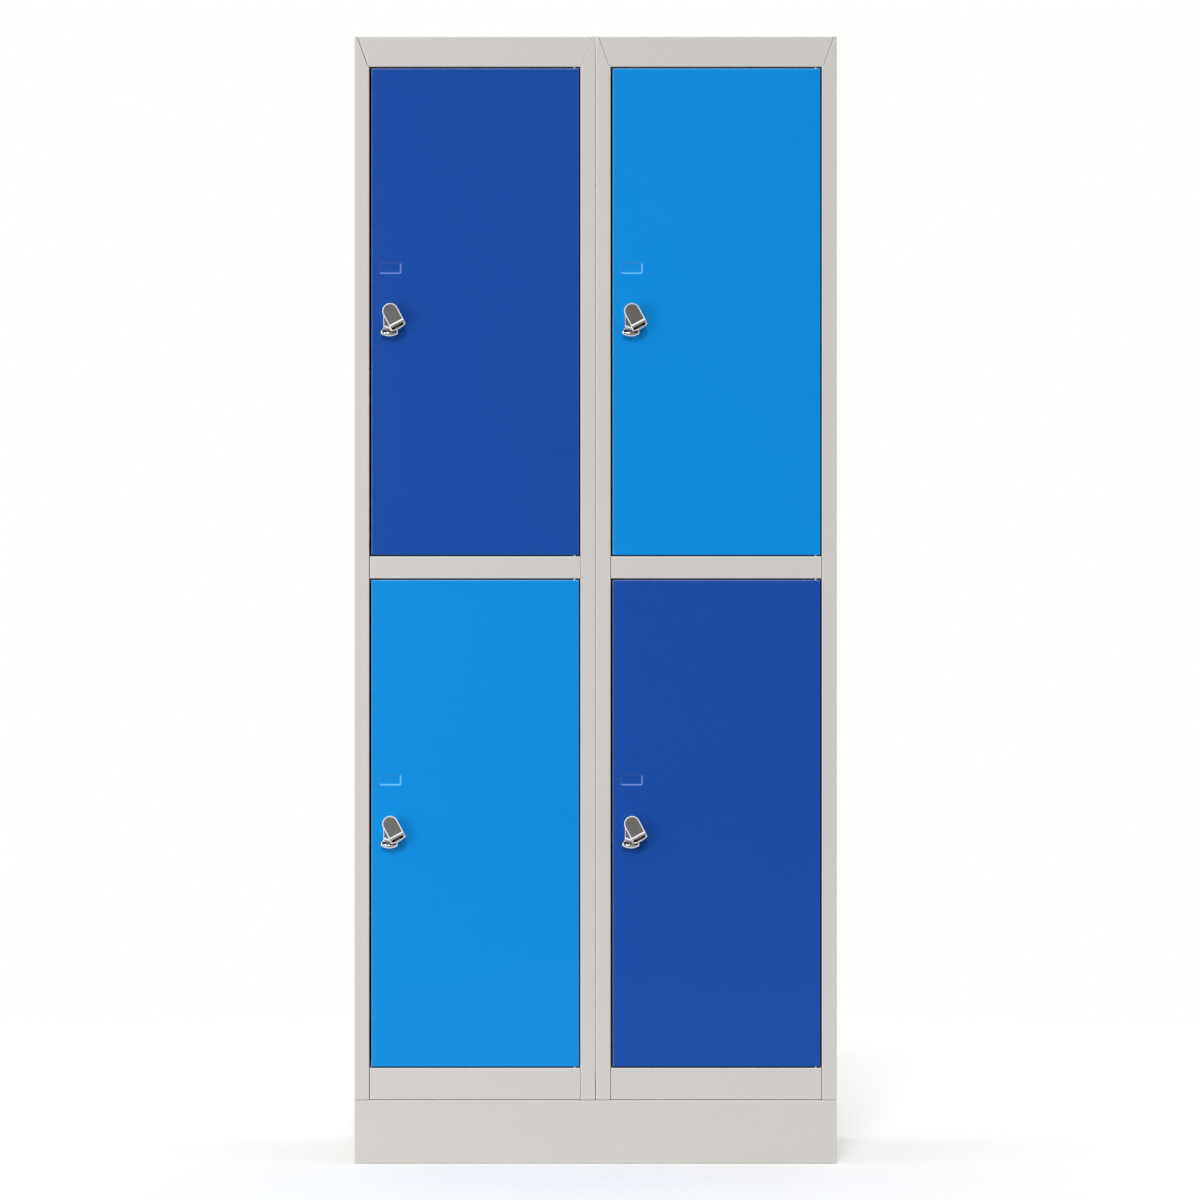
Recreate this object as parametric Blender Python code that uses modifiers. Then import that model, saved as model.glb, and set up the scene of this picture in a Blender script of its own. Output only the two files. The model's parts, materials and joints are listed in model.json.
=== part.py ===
"""School locker: a nest of two steel columns on one plinth, each column with an upper and a lower compartment.

Metres, +Z up. +X is to the right for a person facing the doors, which look along -Y. The origin is the centre
of the footprint at floor level. Sheet metal is drawn as its outer skin and thickened inwards.
"""

import math

import bmesh
import bpy
from mathutils import Matrix, Vector

# Overall sizes
WIDTH = 0.762
HEIGHT = 1.780
DEPTH = 0.457
COLUMN_COUNT = 2
PLINTH_HEIGHT = 0.100
LOCK_PROJECTION = 0.024  # how far the lock's knob stands out in front of the doors

# Front frame of a column
UPRIGHT = 0.024
TOP_RAIL = 0.048
MIDDLE_RAIL = 0.035
BASE_RAIL = 0.051
MITRE_TOP = 0.0045  # distance of the slanted corner seam from the outer edge, at the top
MITRE_KINK = 0.020  # the same distance where the seam turns towards the opening's corner
MITRE_KINK_RISE = 0.0044  # height of that turn above the opening
LEFT_SEAM = 0.0010  # the seam at the left end of each rail is a little open
RIGHT_SEAM = 0.0004
COLUMN_SEAM = 0.0006  # between the side walls of neighbouring columns
PLINTH_SEAM = 0.0008  # between the plinth and the columns on it

# Sheet metal
SHEET = 0.0010
DOOR_SHEET = 0.0012
FOLD_RADIUS = 0.0015
GAP = 0.0003  # clearance between neighbouring pieces
UPRIGHT_RETURN = 0.020
STOP_DEPTH = 0.0212  # depth of the door stops behind the front
STOP_LIP = 0.009
TOP_RELIEF = 0.006  # notch that clears the uprights at the corners of the top
TRAY_RELIEF = 0.0235  # the same for the shelf and the base, behind the uprights' returns
REAR_FLANGE = 0.012
SIDE_FLANGE = 0.012
BASE_RETURN = 0.015
PLINTH_FLANGE = 0.018

# Doors
DOOR_GAP_LEFT = 0.003
DOOR_GAP_RIGHT = 0.002
DOOR_GAP_TOP = 0.0025
DOOR_GAP_BOTTOM = 0.002
DOOR_RETURN = 0.018
DOOR_LIP = 0.010
HINGE_INSET = 0.007  # hinge axis from the door's right edge
HINGE_DEPTH = 0.0045  # hinge axis behind the door's front
PIN_RADIUS = 0.0020
PIN_HEAD_RADIUS = 0.0028
PIN_HEAD = 0.0015
PIN_REACH = 0.0045  # how far a hinge pin passes the edge of the opening
LABEL_WIDTH = 0.0355
LABEL_HEIGHT = 0.018
LABEL_RISE = 0.069  # centre of the label recess above the lock
LABEL_SHIFT = -0.001
LABEL_WALL = 0.0018
LABEL_DEPTH = 0.0012
LABEL_STEPS = 2
LABEL_CORNER = 0.0035
STIFFENER_LENGTH = 0.640
STIFFENER_WIDTH = 0.060
STIFFENER_CROWN = 0.032
STIFFENER_SLOPE = 0.004
STIFFENER_DEPTH = 0.008

# Lock, measured from its pivot on the door's front
LOCK_INSET = 0.0575  # pivot from the column's left side
LOCK_TURN = math.radians(28)  # how far the knob is turned from locked in the modelled position
KNOB_RADIUS = 0.0125
KNOB_DROP = 0.0218
KNOB_RIM = 0.0013  # slope round the face, seen from the front
KNOB_FOOT = 0.0026  # the same at the lower edge
KNOB_LUG_LEFT = 0.0138
KNOB_LUG_RIGHT = 0.0126
KNOB_LUG_DROP = 0.0312
KNOB_LUG_BOW = 0.0026
KNOB_LUG_BACK = 0.0125
KNOB_LUG_FRONT = 0.0195
KNOB_SLOT_LEFT = 0.0112
KNOB_SLOT_RIGHT = 0.0100
KNOB_SLOT_TOP = 0.0243
KNOB_SLOT_BOTTOM = 0.0284
TAB_RADIUS = 0.0112
TAB_DROP = 0.0270
TAB_BOW = 0.0030
TAB_RIM = 0.0008
TAB_FOOT = 0.0024
TAB_HEIGHT = 0.0100
BASE_LUG_LEFT = 0.0154
BASE_LUG_RIGHT = 0.0118
BASE_LUG_DROP = 0.0394
BASE_LUG_BOW = 0.0042
BASE_LUG_BACK = 0.0035
BASE_LUG_FRONT = 0.0090
BASE_SLOT_LEFT = 0.0128
BASE_SLOT_RIGHT = 0.0092
BASE_SLOT_TOP = 0.0284
BASE_SLOT_BOTTOM = 0.0334
LUG_ARM = 0.0030  # height of the straight side of a lug above its bowed lower edge
BARREL_RADIUS = 0.008
BARREL_LENGTH = 0.0215
SPINDLE_RADIUS = 0.0045
SPINDLE_LENGTH = 0.0252
NUT_RADIUS = 0.014
NUT_THICKNESS = 0.005
CAM_FRONT = 0.0225
CAM_THICKNESS = 0.0025
CAM_HUB = 0.010
CAM_TIP = 0.007
CAM_LENGTH = 0.044
CAM_DROOP = math.radians(20)  # the cam points this far below level when the lock is shut
SCREW_HEAD_RADIUS = 0.0042
SCREW_HEAD = 0.0022
SCREW_RADIUS = 0.0017
SCREW_LENGTH = 0.008

# Fittings
BUFFER_RADIUS = 0.0030
BUFFER_INSET = 0.060  # from the opening's left edge
HOOK_WIRE = 0.0025
HOOK_STEM = 0.006
HOOK_DROP = 0.030
HOOK_BEND = 0.011
HOOK_TIP = 0.009
BOLT_RADIUS = 0.003
BOLT_HEAD_RADIUS = 0.0055
BOLT_HEAD = 0.004
BOLT_LENGTH = 0.010
BOLT_HEIGHTS = {"lower": 0.330, "upper": 1.560}

# Worked out from the above
COLUMN = WIDTH / COLUMN_COUNT
FRONT = LOCK_PROJECTION - (DEPTH + LOCK_PROJECTION) / 2
BACK = FRONT + DEPTH
OPENING_WIDTH = COLUMN - 2 * UPRIGHT
OPENING_HEIGHT = (HEIGHT - PLINTH_HEIGHT - TOP_RAIL - MIDDLE_RAIL - BASE_RAIL) / 2
LOWER_SILL = PLINTH_HEIGHT + BASE_RAIL
LOWER_HEAD = LOWER_SILL + OPENING_HEIGHT
UPPER_SILL = LOWER_HEAD + MIDDLE_RAIL
UPPER_HEAD = UPPER_SILL + OPENING_HEIGHT
DOOR_WIDTH = OPENING_WIDTH - DOOR_GAP_LEFT - DOOR_GAP_RIGHT
DOOR_HEIGHT = OPENING_HEIGHT - DOOR_GAP_TOP - DOOR_GAP_BOTTOM
WALL = SHEET + COLUMN_SEAM / 2 + GAP  # from a column's own edge to just inside its side wall
BODY_FOOT = PLINTH_HEIGHT + PLINTH_SEAM

ROUND_STEPS = 24
SMALL_ROUND_STEPS = 16
BOW_STEPS = 8
SLOT_STEPS = 6
FOLD_ANGLE = math.radians(30)
JOIN_OVERLAP = 0.003  # how far a lug reaches into the body that it is one piece with
CROWN = 0.7  # radius at the end of a chamfered head or tip, as a share of the full radius

parts = None
cutters = None


def clear_scene():
    """Removes every object, so that the script starts from nothing."""
    for obj in list(bpy.data.objects):
        bpy.data.objects.remove(obj, do_unlink=True)


def new_collection(name, hidden=False):
    collection = bpy.data.collections.new(name)
    collection.hide_render = hidden
    bpy.context.scene.collection.children.link(collection)
    return collection


def new_material(name, color, roughness, metallic=0.0):
    material = bpy.data.materials.new(name)
    material.use_nodes = True
    surface = material.node_tree.nodes["Principled BSDF"]
    surface.inputs["Base Color"].default_value = (*color, 1.0)
    surface.inputs["Roughness"].default_value = roughness
    surface.inputs["Metallic"].default_value = metallic
    return material


def new_object(name, bm, material, parent=None, smooth=False):
    """Turns a bmesh into a named object of the model."""
    bmesh.ops.recalc_face_normals(bm, faces=bm.faces)
    mesh = bpy.data.meshes.new(name)
    bm.to_mesh(mesh)
    bm.free()
    mesh.materials.append(material)
    if smooth:
        mesh.shade_smooth()
        mesh.set_sharp_from_angle(angle=FOLD_ANGLE)
    obj = bpy.data.objects.new(name, mesh)
    obj.parent = parent
    parts.objects.link(obj)
    return obj


def new_empty(name, location, parent=None):
    empty = bpy.data.objects.new(name, None)
    empty.location = location
    empty.parent = parent
    empty.empty_display_size = 0.02
    parts.objects.link(empty)
    return empty


def as_cutter(obj):
    """Moves a shape to the cutters, where it shapes others and isn't part of the model."""
    parts.objects.unlink(obj)
    cutters.objects.link(obj)
    obj.hide_render = True
    obj.display_type = "WIRE"
    return obj


def boolean(obj, other, operation):
    modifier = obj.modifiers.new(other.name, "BOOLEAN")
    modifier.operation = operation
    modifier.solver = "EXACT"
    modifier.object = as_cutter(other) if other.name in parts.objects else other


def box(name, low, high, material, parent=None):
    bm = bmesh.new()
    bmesh.ops.create_cube(bm, size=1.0)
    size = Vector(high) - Vector(low)
    bmesh.ops.scale(bm, vec=size, verts=bm.verts)
    bmesh.ops.translate(bm, vec=(Vector(high) + Vector(low)) / 2, verts=bm.verts)
    return new_object(name, bm, material, parent)


def cylinder(name, radius, start, end, material, parent=None, steps=ROUND_STEPS):
    """A cylinder between two points of one axis."""
    start, end = Vector(start), Vector(end)
    bm = bmesh.new()
    bmesh.ops.create_cone(
        bm, cap_ends=True, segments=steps, radius1=radius, radius2=radius, depth=(end - start).length
    )
    turn = Vector((0, 0, 1)).rotation_difference(end - start).to_matrix().to_4x4()
    bmesh.ops.transform(bm, matrix=Matrix.Translation((start + end) / 2) @ turn, verts=bm.verts)
    return new_object(name, bm, material, parent, smooth=True)


def headed_profile(head_radius, head, radius, length):
    """A head above a straight shank that points down, both chamfered at their ends."""
    return (
        (0.0, head),
        (head_radius * CROWN, head),
        (head_radius, head / 2),
        (head_radius, 0.0),
        (radius, 0.0),
        (radius, radius * (1 - CROWN) - length),
        (radius * CROWN, -length),
        (0.0, -length),
    )


def turned(name, profile, material, parent=None, steps=SMALL_ROUND_STEPS):
    """A turned piece about its own Z axis; the profile runs from the axis at the top to the axis at the bottom."""
    mesh = bpy.data.meshes.new(name)
    points = [(radius, 0.0, height) for radius, height in profile]
    mesh.from_pydata(points, [(i, i + 1) for i in range(len(points) - 1)], [])
    mesh.materials.append(material)
    obj = bpy.data.objects.new(name, mesh)
    obj.parent = parent
    parts.objects.link(obj)
    screw = obj.modifiers.new("turn", "SCREW")
    screw.steps = steps
    screw.render_steps = steps
    screw.use_merge_vertices = True
    screw.merge_threshold = 0.00001
    return obj


def plate(name, outline, back, front, material, parent=None):
    """A flat outline of (x, z) points made solid between two depths, both measured forwards from the door's face."""
    bm = bmesh.new()
    face = bm.faces.new([bm.verts.new((x, -back, z)) for x, z in outline])
    grown = bmesh.ops.extrude_face_region(bm, geom=[face])["geom"]
    moved = [item for item in grown if isinstance(item, bmesh.types.BMVert)]
    bmesh.ops.translate(bm, vec=(0, back - front, 0), verts=moved)
    return new_object(name, bm, material, parent)


def sloped_plate(name, outline, face_outline, back, front, slope, material, parent=None):
    """A plate whose edge slopes in over its last part to a smaller face; both outlines have as many points."""
    bm = bmesh.new()
    sections = ((back, outline), (front - slope, outline), (front, face_outline))
    rings = [[bm.verts.new((x, -depth, z)) for x, z in points] for depth, points in sections]
    for ring, following in zip(rings, rings[1:]):
        for index in range(len(ring)):
            bm.faces.new((ring[index - 1], ring[index], following[index], following[index - 1]))
    bm.faces.new(rings[0])
    bm.faces.new(rings[-1])
    return new_object(name, bm, material, parent)


def fold_edges(bm):
    return [edge for edge in bm.edges if len(edge.link_faces) == 2 and edge.calc_face_angle() > FOLD_ANGLE]


def round_folds(bm, radius=FOLD_RADIUS):
    bmesh.ops.bevel(
        bm, geom=fold_edges(bm), offset=radius, segments=2, profile=0.5, affect="EDGES", clamp_overlap=True
    )


def thicken(obj, thickness):
    """Gives a skin its sheet thickness, on its inner side."""
    solidify = obj.modifiers.new("sheet", "SOLIDIFY")
    solidify.thickness = thickness
    solidify.offset = -1.0
    solidify.use_even_offset = True
    solidify.use_quality_normals = True


def skin_object(name, bm, outward, thickness, material, parent=None):
    """Makes a sheet part of an open skin whose largest face looks outward."""
    bmesh.ops.recalc_face_normals(bm, faces=bm.faces)
    largest = max(bm.faces, key=lambda face: face.calc_area())
    if largest.normal.dot(Vector(outward)) < 0:
        bmesh.ops.reverse_faces(bm, faces=bm.faces)
    mesh = bpy.data.meshes.new(name)
    bm.to_mesh(mesh)
    bm.free()
    mesh.materials.append(material)
    mesh.shade_smooth()
    mesh.set_sharp_from_angle(angle=FOLD_ANGLE)
    obj = bpy.data.objects.new(name, mesh)
    obj.parent = parent
    parts.objects.link(obj)
    thicken(obj, thickness)
    return obj


def folded_sheet(name, rows, outward, material, thickness=SHEET, dropped=(), parent=None):
    """A grid bent through rows of points, without the dropped (row, column) cells, then rounded and thickened."""
    last_row = len(rows) - 1
    last_column = len(rows[0]) - 1
    bm = bmesh.new()
    bmesh.ops.create_grid(bm, x_segments=last_column, y_segments=last_row, size=0.5)

    def cell(point):
        return math.floor((point.y + 0.5) * last_row), math.floor((point.x + 0.5) * last_column)

    unwanted = [face for face in bm.faces if cell(face.calc_center_median()) in dropped]
    for vert in bm.verts:
        row = round((vert.co.y + 0.5) * last_row)
        column = round((vert.co.x + 0.5) * last_column)
        vert.co = rows[row][column]
    bmesh.ops.delete(bm, geom=unwanted, context="FACES")
    round_folds(bm)
    return skin_object(name, bm, outward, thickness, material, parent)


def side_panel(name, outer_x, inward, seam, material):
    """A side wall with its rear flange and the upright's front flange and return; inward is +1 or -1."""
    heights = (BODY_FOOT, UPPER_HEAD, UPPER_HEAD + MITRE_KINK_RISE, HEIGHT)
    flange_widths = (UPRIGHT, UPRIGHT, MITRE_KINK, MITRE_TOP)
    rows = []
    for height, flange in zip(heights, flange_widths):
        profile = (
            (REAR_FLANGE, BACK),
            (0.0, BACK),
            (0.0, FRONT),
            (flange - seam, FRONT),
            (flange - seam, FRONT + UPRIGHT_RETURN),
        )
        rows.append([(outer_x + inward * inset, y, height) for inset, y in profile])
    above_opening = [(row, 3) for row in (1, 2)]
    return folded_sheet(name, rows, (-inward, 0, 0), material, dropped=above_opening)


def tray(name, left, level, front_ends, relief, back_rise, material, stop=False):
    """A top, shelf or base: a sheet with a front rail, a return under it, and rear and side flanges.

    front_ends lists (height, end inset) down the front rail. A stop adds the lip that the door below shuts on.
    """
    back = BACK - 2 * WALL - (SHEET if back_rise > 0 else 0.0)
    bottom, bottom_inset = front_ends[-1]
    profile = []
    if stop:
        profile.append((FRONT + STOP_DEPTH, bottom - STOP_LIP, bottom_inset))
    profile.append((FRONT + (STOP_DEPTH if stop else BASE_RETURN), bottom, bottom_inset))
    profile += [(FRONT, height, inset) for height, inset in reversed(front_ends)]
    sheet_start = len(profile)
    top_inset = front_ends[0][1]
    profile += [(FRONT + relief, level, top_inset), (back, level, top_inset), (back, level + back_rise, top_inset)]

    def station(end_inset, from_left, drop=0.0):
        row = []
        for index, (y, z, inset) in enumerate(profile):
            across = inset if end_inset is None else end_inset
            on_sheet = index in (sheet_start, sheet_start + 1)
            x = left + across if from_left else left + COLUMN - across
            row.append((x, y, z - drop if on_sheet else z))
        return row

    rows = [
        station(WALL, True, SIDE_FLANGE),
        station(WALL, True),
        station(None, True),
        station(None, False),
        station(WALL, False),
        station(WALL, False, SIDE_FLANGE),
    ]
    columns = range(len(profile) - 1)
    dropped = [(row, column) for row in (0, 1, 3, 4) for column in columns if column != sheet_start]
    return folded_sheet(name, rows, (0, 0, 1), material, dropped=dropped)


def add_column(number, material):
    """One column's own sheet parts."""
    left = -WIDTH / 2 + (number - 1) * COLUMN
    prefix = f"column_{number}"
    left_x = left + (COLUMN_SEAM / 2 if number > 1 else 0.0)
    right_x = left + COLUMN - (COLUMN_SEAM / 2 if number < COLUMN_COUNT else 0.0)
    side_left = side_panel(f"{prefix}_side_left", left_x, 1, LEFT_SEAM / 2, material)
    side_right = side_panel(f"{prefix}_side_right", right_x, -1, RIGHT_SEAM / 2, material)
    seam = LEFT_SEAM / 2
    top_ends = [
        (HEIGHT, MITRE_TOP + seam),
        (UPPER_HEAD + MITRE_KINK_RISE, MITRE_KINK + seam),
        (UPPER_HEAD, UPRIGHT + seam),
    ]
    shelf_ends = [(UPPER_SILL, UPRIGHT + seam), (LOWER_HEAD, UPRIGHT + seam)]
    base_ends = [(LOWER_SILL, UPRIGHT + seam), (BODY_FOOT, UPRIGHT + seam)]
    top = tray(f"{prefix}_top", left, HEIGHT, top_ends, TOP_RELIEF, -REAR_FLANGE, material, stop=True)
    shelf = tray(f"{prefix}_shelf", left, UPPER_SILL, shelf_ends, TRAY_RELIEF, REAR_FLANGE, material, stop=True)
    base = tray(f"{prefix}_base", left, LOWER_SILL, base_ends, TRAY_RELIEF, -REAR_FLANGE, material)
    back_low = (left + 2 * WALL, BACK - WALL - SHEET, BODY_FOOT)
    back_high = (left + COLUMN - 2 * WALL, BACK - WALL, HEIGHT - WALL)
    box(f"{prefix}_back", back_low, back_high, material)
    return {"left": left, "side_left": side_left, "side_right": side_right, "top": top, "shelf": shelf, "base": base}


def add_plinth(material):
    """A folded channel round the front and sides, and a second channel across the back."""
    profile = ((PLINTH_FLANGE, PLINTH_HEIGHT), (0.0, PLINTH_HEIGHT), (0.0, 0.0), (PLINTH_FLANGE, 0.0))
    edge = WIDTH / 2
    rows = [
        [(inset - edge, BACK, z) for inset, z in profile],
        [(inset - edge, FRONT + inset, z) for inset, z in profile],
        [(edge - inset, FRONT + inset, z) for inset, z in profile],
        [(edge - inset, BACK, z) for inset, z in profile],
    ]
    folded_sheet("plinth_front_and_sides", rows, (0, -1, 0), material)
    low, high = WALL, PLINTH_HEIGHT - WALL
    channel = ((BACK - PLINTH_FLANGE, high), (BACK, high), (BACK, low), (BACK - PLINTH_FLANGE, low))
    rows = [[(x, y, z) for y, z in channel] for x in (WALL - edge, edge - WALL)]
    folded_sheet("plinth_back", rows, (0, 1, 0), material)


def add_nest_bolts(columns, material):
    """Bolts that hold the two columns together through their neighbouring side walls."""
    for place, height in BOLT_HEIGHTS.items():
        profile = headed_profile(BOLT_HEAD_RADIUS, BOLT_HEAD, BOLT_RADIUS, BOLT_LENGTH)
        bolt = turned(f"nest_bolt_{place}", profile, material)
        bolt.location = (-WALL, 0.0, height)
        bolt.rotation_euler = (0.0, -math.pi / 2, 0.0)
        reach = 5 * WALL
        hole = cylinder(
            f"nest_bolt_hole_{place}", BOLT_RADIUS + GAP, (-reach, 0, height), (reach, 0, height), material
        )
        boolean(columns[0]["side_right"], hole, "DIFFERENCE")
        boolean(columns[1]["side_left"], hole, "DIFFERENCE")


def door_skin():
    """The door as an open pan: face, four returns and a lip turned in behind them, about its hinge axis."""
    bm = bmesh.new()
    bmesh.ops.create_cube(bm, size=1.0)
    bmesh.ops.scale(bm, vec=(DOOR_WIDTH, DOOR_RETURN, DOOR_HEIGHT), verts=bm.verts)
    centre = Vector((HINGE_INSET - DOOR_WIDTH / 2, DOOR_RETURN / 2 - HINGE_DEPTH, 0.0))
    bmesh.ops.translate(bm, vec=centre, verts=bm.verts)
    open_back = [face for face in bm.faces if face.normal.y > 0.5]
    bmesh.ops.delete(bm, geom=open_back, context="FACES_ONLY")
    rim = [edge for edge in bm.edges if len(edge.link_faces) == 1]
    grown = bmesh.ops.extrude_edge_only(bm, edges=rim)["geom"]
    for vert in (item for item in grown if isinstance(item, bmesh.types.BMVert)):
        vert.co.x -= math.copysign(DOOR_LIP, vert.co.x - centre.x)
        vert.co.z -= math.copysign(DOOR_LIP, vert.co.z)
    round_folds(bm)
    return bm


def press_label_recess(bm, centre_x, centre_z):
    """Presses a shallow rounded pocket for a number label into the door's face."""
    face = min(bm.faces, key=lambda each: each.calc_center_median().y)
    middle = face.calc_center_median()
    bmesh.ops.inset_region(bm, faces=[face], thickness=LABEL_HEIGHT)
    for vert in face.verts:
        vert.co.x = centre_x + math.copysign(LABEL_WIDTH / 2, vert.co.x - middle.x)
        vert.co.z = centre_z + math.copysign(LABEL_HEIGHT / 2, vert.co.z - middle.z)
    bmesh.ops.bevel(bm, geom=list(face.verts), offset=LABEL_CORNER, segments=3, profile=0.5, affect="VERTICES")
    pocket = min(
        (each for each in bm.faces if abs(each.calc_center_median().z - centre_z) < LABEL_HEIGHT / 4),
        key=lambda each: abs(each.calc_center_median().x - centre_x),
    )
    for _ in range(LABEL_STEPS):
        bmesh.ops.inset_region(bm, faces=[pocket], thickness=LABEL_WALL / LABEL_STEPS)
        bmesh.ops.translate(bm, vec=(0, LABEL_DEPTH / LABEL_STEPS, 0), verts=pocket.verts)


def add_door(place, hinge, lock_x, material):
    bm = door_skin()
    press_label_recess(bm, lock_x + LABEL_SHIFT, LABEL_RISE)
    door = skin_object(f"door_{place}", bm, (0, -1, 0), DOOR_SHEET, material, hinge)
    reach = DOOR_HEIGHT / 2 + HINGE_INSET
    pin_hole = cylinder(
        f"pin_hole_{place}", PIN_RADIUS + GAP, (0, 0, -reach), (0, 0, reach), material, hinge, SMALL_ROUND_STEPS
    )
    face_y = -HINGE_DEPTH
    lock_hole = cylinder(
        f"lock_hole_{place}",
        BARREL_RADIUS + GAP,
        (lock_x, face_y - DOOR_SHEET, 0),
        (lock_x, face_y + 2 * DOOR_SHEET, 0),
        material,
        hinge,
    )
    boolean(door, pin_hole, "DIFFERENCE")
    boolean(door, lock_hole, "DIFFERENCE")


def add_stiffener(place, hinge, material):
    """A top-hat section behind the middle of the door."""
    middle = HINGE_INSET - DOOR_WIDTH / 2
    rest = -HINGE_DEPTH + DOOR_SHEET + GAP + SHEET
    crown = STIFFENER_CROWN / 2
    section = (
        (-STIFFENER_WIDTH / 2, rest),
        (-crown - STIFFENER_SLOPE, rest),
        (-crown, rest + STIFFENER_DEPTH),
        (crown, rest + STIFFENER_DEPTH),
        (crown + STIFFENER_SLOPE, rest),
        (STIFFENER_WIDTH / 2, rest),
    )
    ends = (-STIFFENER_LENGTH / 2, STIFFENER_LENGTH / 2)
    rows = [[(middle + x, y, z) for x, y in section] for z in ends]
    folded_sheet(f"door_stiffener_{place}", rows, (0, 1, 0), material, parent=hinge)


def add_hinge_pins(place, hinge, material):
    """A headed pin at each end of the door, through its return and into the frame."""
    inside = DOOR_HEIGHT / 2 - DOOR_SHEET - GAP
    for end, direction, gap in (("top", 1, DOOR_GAP_TOP), ("bottom", -1, DOOR_GAP_BOTTOM)):
        length = DOOR_SHEET + GAP + gap + PIN_REACH
        profile = headed_profile(PIN_HEAD_RADIUS, PIN_HEAD, PIN_RADIUS, length)
        pin = turned(f"hinge_pin_{end}_{place}", profile, material, hinge)
        pin.location = (0.0, 0.0, direction * inside)
        pin.rotation_euler = (math.pi if direction > 0 else 0.0, 0.0, 0.0)


def arc(centre_x, centre_z, radius, start, end, steps):
    """Points round part of a circle, anticlockwise from one angle to another."""
    angles = [start + (end - start) * step / steps for step in range(steps + 1)]
    return [(centre_x + radius * math.cos(angle), centre_z + radius * math.sin(angle)) for angle in angles]


def bow(left, right, ends, depth, steps=BOW_STEPS):
    """Points from left to right along an arc that sags below the height of its ends."""
    half = (right - left) / 2
    radius = (half**2 + depth**2) / (2 * depth)
    reach = math.asin(half / radius)
    down = -math.pi / 2
    return arc((left + right) / 2, ends - depth + radius, radius, down - reach, down + reach, steps)


def tab_outline(radius, drop, sag=0.0):
    """A tab with a round top about the pivot and a straight or bowed lower edge, as (x, z) points."""
    foot = bow(-radius, radius, sag - drop, sag) if sag else [(-radius, -drop), (radius, -drop)]
    return arc(0.0, 0.0, radius, 0.0, math.pi, SMALL_ROUND_STEPS) + foot


def lug_outline(neck, top, left, right, drop, sag):
    """A lug that widens from its neck to upright arms above a bowed lower edge."""
    ends = sag - drop
    arms = ends + LUG_ARM
    return [(right, arms), (neck, top), (-neck, top), (-left, arms)] + bow(-left, right, ends, sag)


def slot_outline(left, right, top, bottom):
    """A level slot with round ends."""
    radius = (bottom - top) / 2
    middle = -(top + bottom) / 2
    half_turn = math.pi / 2
    right_end = arc(right - radius, middle, radius, -half_turn, half_turn, SLOT_STEPS)
    left_end = arc(radius - left, middle, radius, half_turn, 3 * half_turn, SLOT_STEPS)
    return right_end + left_end


def add_hasp_base(place, pivot, material):
    """The fixed half of the lock: a raised tab, a slotted lug below it and a threaded barrel through the door."""
    outline = tab_outline(TAB_RADIUS, TAB_DROP, TAB_BOW)
    face = tab_outline(TAB_RADIUS - TAB_RIM, TAB_DROP - TAB_FOOT, TAB_BOW)
    base = sloped_plate(f"hasp_base_{place}", outline, face, GAP, TAB_HEIGHT, TAB_RIM, material, pivot)
    lug_shape = lug_outline(
        TAB_RADIUS - GAP, JOIN_OVERLAP - TAB_DROP, BASE_LUG_LEFT, BASE_LUG_RIGHT, BASE_LUG_DROP, BASE_LUG_BOW
    )
    lug = plate(f"base_lug_{place}", lug_shape, BASE_LUG_BACK, BASE_LUG_FRONT, material, pivot)
    slot_shape = slot_outline(BASE_SLOT_LEFT, BASE_SLOT_RIGHT, BASE_SLOT_TOP, BASE_SLOT_BOTTOM)
    slot = plate(f"base_slot_{place}", slot_shape, 0.0, LOCK_PROJECTION, material, pivot)
    middle = -TAB_HEIGHT / 2
    barrel = cylinder(f"barrel_{place}", BARREL_RADIUS, (0, middle, 0), (0, BARREL_LENGTH, 0), material, pivot)
    bore = cylinder(
        f"barrel_bore_{place}",
        SPINDLE_RADIUS + GAP,
        (0, -LOCK_PROJECTION, 0),
        (0, LOCK_PROJECTION, 0),
        material,
        pivot,
    )
    boolean(base, lug, "UNION")
    boolean(base, slot, "DIFFERENCE")
    boolean(base, barrel, "UNION")
    boolean(base, bore, "DIFFERENCE")


def add_hasp_nut(place, pivot, material):
    start = DOOR_SHEET + GAP
    nut = cylinder(
        f"hasp_nut_{place}", NUT_RADIUS, (0, start, 0), (0, start + NUT_THICKNESS, 0), material, pivot, steps=6
    )
    bore = cylinder(
        f"nut_bore_{place}",
        BARREL_RADIUS + GAP,
        (0, 0, 0),
        (0, start + 2 * NUT_THICKNESS, 0),
        material,
        pivot,
    )
    boolean(nut, bore, "DIFFERENCE")


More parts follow.
